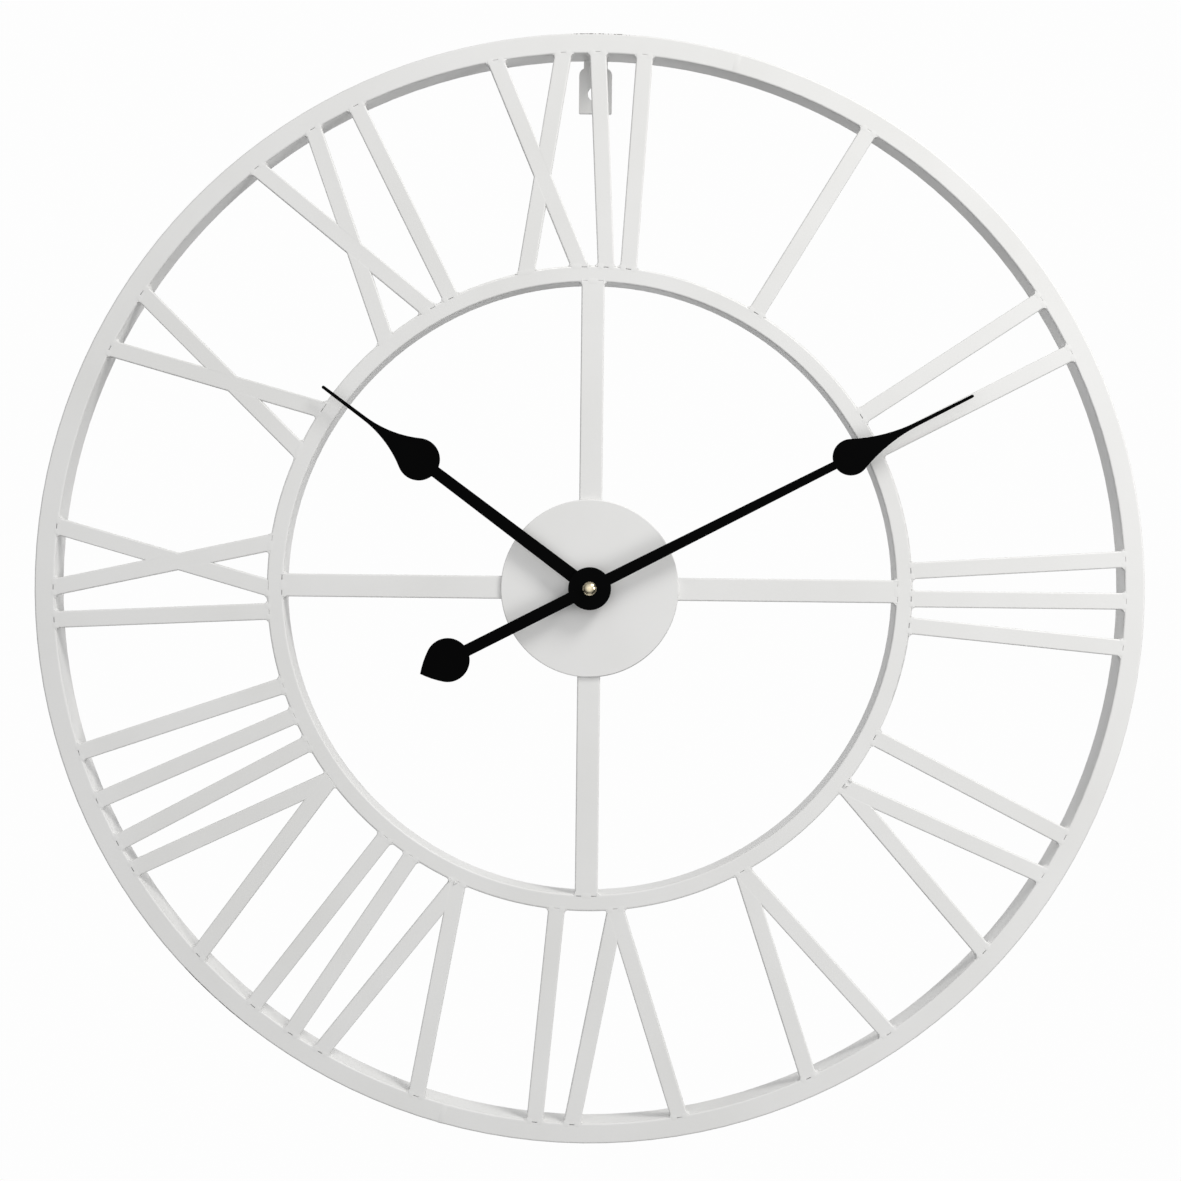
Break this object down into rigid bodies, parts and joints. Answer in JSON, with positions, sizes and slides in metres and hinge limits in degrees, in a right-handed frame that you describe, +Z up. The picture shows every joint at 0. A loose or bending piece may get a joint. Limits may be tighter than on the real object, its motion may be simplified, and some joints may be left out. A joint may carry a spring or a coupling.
{
  "type": "wall clock",
  "caption": "Large openwork wall clock: welded iron rings with Roman numerals of flat bar, spade hands and a quartz movement behind a centre plate.",
  "frame": {"origin": "centre of the hanging hole, on the wall plane at the clock's back", "axes": "+Z up, +Y out of the back towards the wall, +X to the right of a person reading the dial; the dial faces -Y"},
  "size_m": [0.6, 0.0348, 0.6],
  "materials": {
    "white_powder_coat": "satin white powder coat with a fine orange-peel texture on iron",
    "black_hand_paint": "matte black paint on stamped aluminium sheet",
    "turned_brass": "turned brass",
    "polished_brass": "polished pale brass",
    "black_case_plastic": "fine spark-eroded black moulding",
    "white_wheel_plastic": "unpigmented acetal moulding",
    "gasket_rubber": "dull black rubber",
    "contact_nickel": "nickel-plated spring steel",
    "battery_jacket": "plain green printed film jacket with bare metal ends",
    "magnet_steel": "bare soft iron",
    "coil_copper": "enamelled copper wire, wound side by side",
    "board_laminate": "green solder mask",
    "chip_resin": "glossy black resin drop"
  },
  "bodies": {
    "clock_frame": {"outer_ring_right": "white_powder_coat", "outer_ring_left": "white_powder_coat", "inner_ring": "white_powder_coat", "spoke_twelve": "white_powder_coat", "spoke_three": "white_powder_coat", "spoke_six": "white_powder_coat", "spoke_nine": "white_powder_coat", "centre_disc": "white_powder_coat", "hanger_plate": "white_powder_coat", "numeral_01": "white_powder_coat", "numeral_02": "white_powder_coat", "numeral_03": "white_powder_coat", "numeral_04": "white_powder_coat", "numeral_05": "white_powder_coat", "numeral_06": "white_powder_coat", "numeral_07": "white_powder_coat", "numeral_08": "white_powder_coat", "numeral_09": "white_powder_coat", "numeral_10": "white_powder_coat", "numeral_11": "white_powder_coat", "numeral_12": "white_powder_coat", "movement_case": "black_case_plastic", "movement_cover": "black_case_plastic", "train_bridge": "white_wheel_plastic", "case_gasket": "gasket_rubber", "threaded_bushing": "turned_brass", "dial_washer": "turned_brass", "dial_nut": "turned_brass", "contact_positive": "contact_nickel", "contact_negative": "contact_nickel", "circuit_board": "board_laminate", "clock_chip": "chip_resin", "quartz_crystal": "contact_nickel", "coil_bobbin": "white_wheel_plastic", "coil_winding": "coil_copper", "coil_core": "magnet_steel", "stator": "magnet_steel"},
    "minute_hand_set": {"minute_hand": "black_hand_paint", "minute_collet": "turned_brass", "cap_nut": "polished_brass", "minute_arbor": "turned_brass"},
    "hour_hand_set": {"hour_hand": "black_hand_paint", "hour_collet": "turned_brass", "hour_wheel": "white_wheel_plastic"},
    "setting_set": {"minute_wheel": "white_wheel_plastic", "setting_knob": "black_case_plastic"},
    "seconds_set": {"seconds_wheel": "white_wheel_plastic"},
    "intermediate_set": {"intermediate_wheel": "white_wheel_plastic"},
    "rotor_set": {"rotor_pinion": "white_wheel_plastic", "rotor_magnet": "magnet_steel"},
    "third_set": {"third_wheel": "white_wheel_plastic"},
    "centre_set": {"centre_wheel": "white_wheel_plastic"},
    "battery_cell": {"battery": "battery_jacket"}
  },
  "joints": [
    {"name": "minute_turn", "type": "hinge", "parent": "clock_frame", "child": "minute_hand_set", "pos_m": [0, 0, -0.271], "axis": [0, 1, 0], "continuous": true},
    {"name": "hour_turn", "type": "hinge", "parent": "clock_frame", "child": "hour_hand_set", "pos_m": [0, 0, -0.271], "axis": [0, 1, 0], "continuous": true},
    {"name": "setting_turn", "type": "hinge", "parent": "clock_frame", "child": "setting_set", "pos_m": [-0.01, 0, -0.271], "axis": [0, 1, 0], "continuous": true},
    {"name": "seconds_turn", "type": "hinge", "parent": "clock_frame", "child": "seconds_set", "pos_m": [0, 0, -0.271], "axis": [0, 1, 0], "continuous": true},
    {"name": "intermediate_turn", "type": "hinge", "parent": "clock_frame", "child": "intermediate_set", "pos_m": [-0.0035, 0, -0.26494], "axis": [0, 1, 0], "continuous": true},
    {"name": "rotor_turn", "type": "hinge", "parent": "clock_frame", "child": "rotor_set", "pos_m": [-0.00475, 0, -0.25785], "axis": [0, 1, 0], "continuous": true},
    {"name": "third_turn", "type": "hinge", "parent": "clock_frame", "child": "third_set", "pos_m": [0.00797, 0, -0.2717], "axis": [0, 1, 0], "continuous": true},
    {"name": "centre_turn", "type": "hinge", "parent": "clock_frame", "child": "centre_set", "pos_m": [0, 0, -0.271], "axis": [0, 1, 0], "continuous": true},
    {"name": "battery_slide", "type": "slide", "parent": "clock_frame", "child": "battery_cell", "axis": [0, 1, 0], "range_m": [0, 0.018]}
  ],
  "couplings": [
    {"joint": "hour_turn", "follows": "minute_turn", "ratio": 0.083333},
    {"joint": "setting_turn", "follows": "minute_turn", "ratio": -0.33333},
    {"joint": "intermediate_turn", "follows": "seconds_turn", "ratio": -6},
    {"joint": "rotor_turn", "follows": "seconds_turn", "ratio": 30},
    {"joint": "third_turn", "follows": "seconds_turn", "ratio": -0.13333},
    {"joint": "centre_turn", "follows": "seconds_turn", "ratio": 0.016667}
  ]
}
